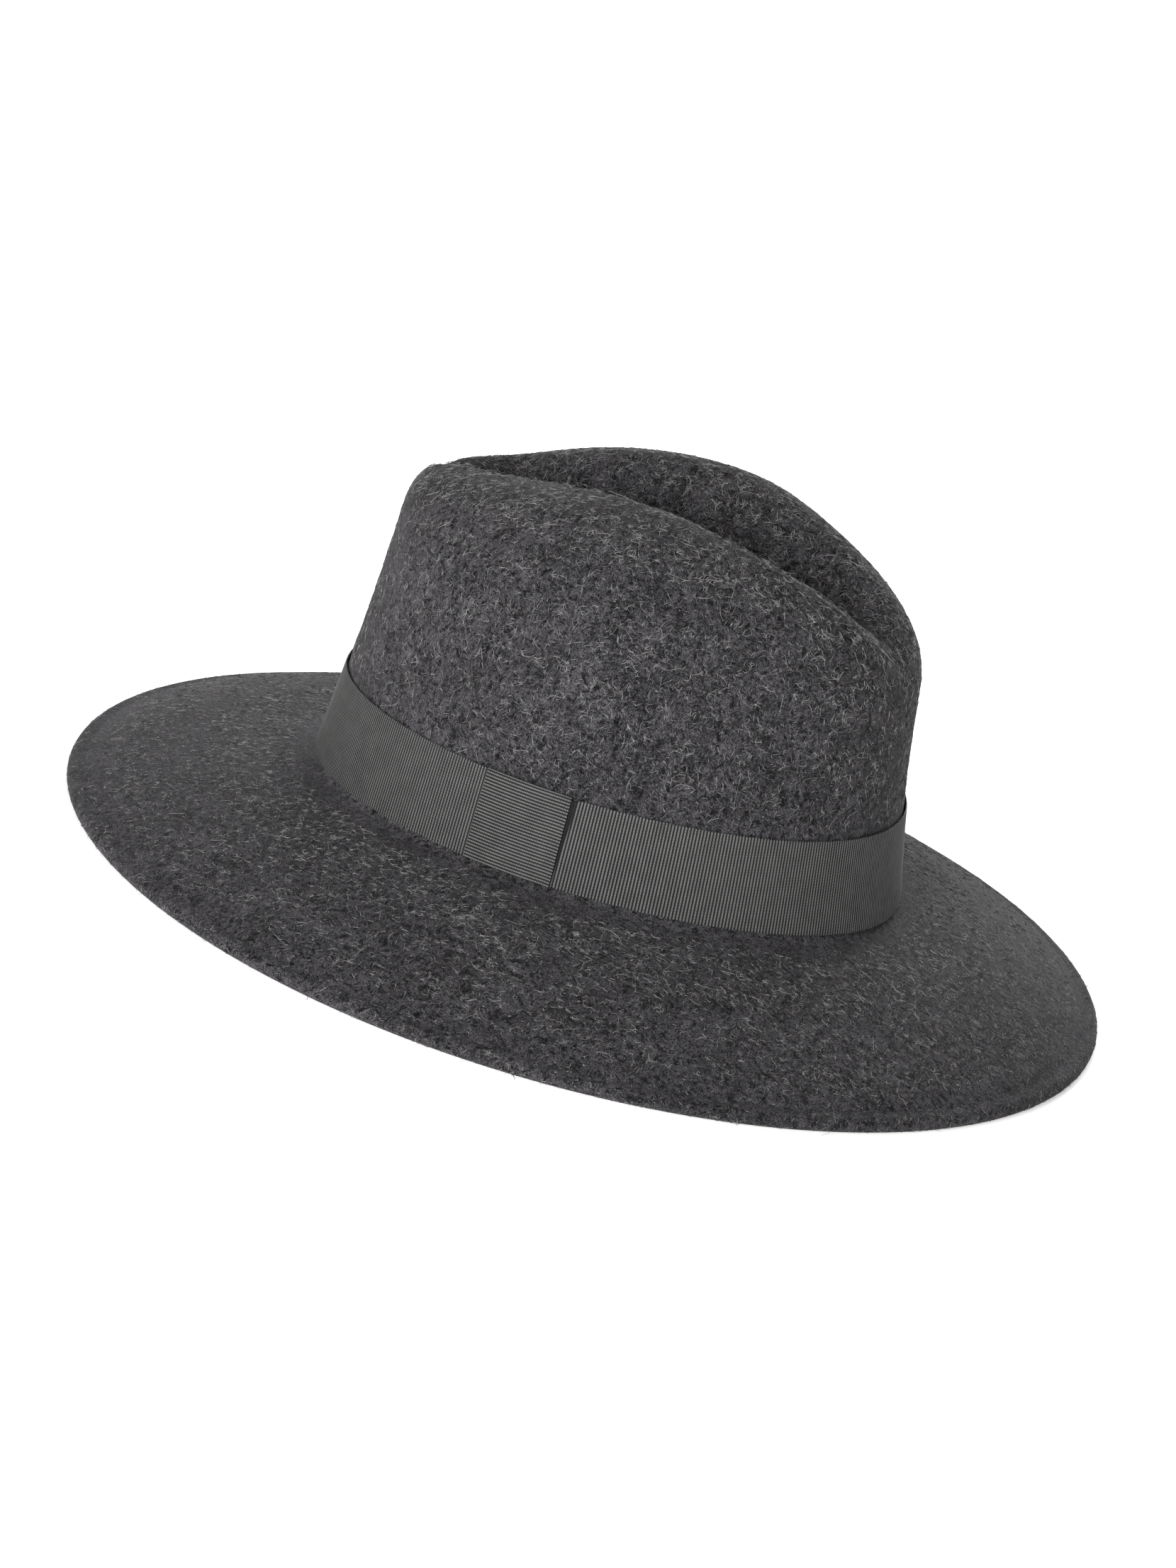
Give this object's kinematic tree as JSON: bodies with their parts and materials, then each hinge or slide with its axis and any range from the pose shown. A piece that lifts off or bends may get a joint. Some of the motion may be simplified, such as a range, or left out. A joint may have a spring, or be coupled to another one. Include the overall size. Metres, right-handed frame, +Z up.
{
  "type": "fedora hat",
  "caption": "Wide-brimmed wool felt fedora with a centre-dent pinched crown, rolled wired brim edge, ribbed ribbon band with a folded keeper and an inner sweatband.",
  "frame": {"origin": "centre of the brim oval on the plane that the brim edge stands on", "axes": "+Z up through the crown, the front of the hat faces -Y, the wearer's right is -X"},
  "size_m": [0.3304, 0.3578, 0.1436],
  "materials": {
    "wool_felt": "melange wool felt, dark charcoal with light grey fibres, softly brushed",
    "grosgrain_ribbon": "ribbed grosgrain, dark grey, soft sheen",
    "thread": "matt spun polyester thread",
    "spring_wire": "drawn spring steel",
    "wire_sleeve": "crimped",
    "sweatband_leather": "black, fine grain, semi-matt",
    "reed_plastic": "extruded",
    "reed_tape": "plain woven tape",
    "seam_tape": "plain woven tape",
    "bow_ribbon": "narrow satin ribbon",
    "label_cloth": "blank woven label"
  },
  "bodies": {
    "root": {"felt_body": "wool_felt", "brim_wire": "spring_wire", "brim_wire_sleeve": "wire_sleeve", "brim_edge_stitches": "thread", "ribbon_band": "grosgrain_ribbon", "ribbon_keeper": "grosgrain_ribbon", "ribbon_tack_stitches": "thread", "sweatband": "sweatband_leather", "sweatband_reed": "reed_plastic", "sweatband_reed_tape": "reed_tape", "sweatband_seam_tape": "seam_tape", "sweatband_bow": "bow_ribbon", "sweatband_stitches": "thread", "size_label": "label_cloth"}
  },
  "joints": []
}
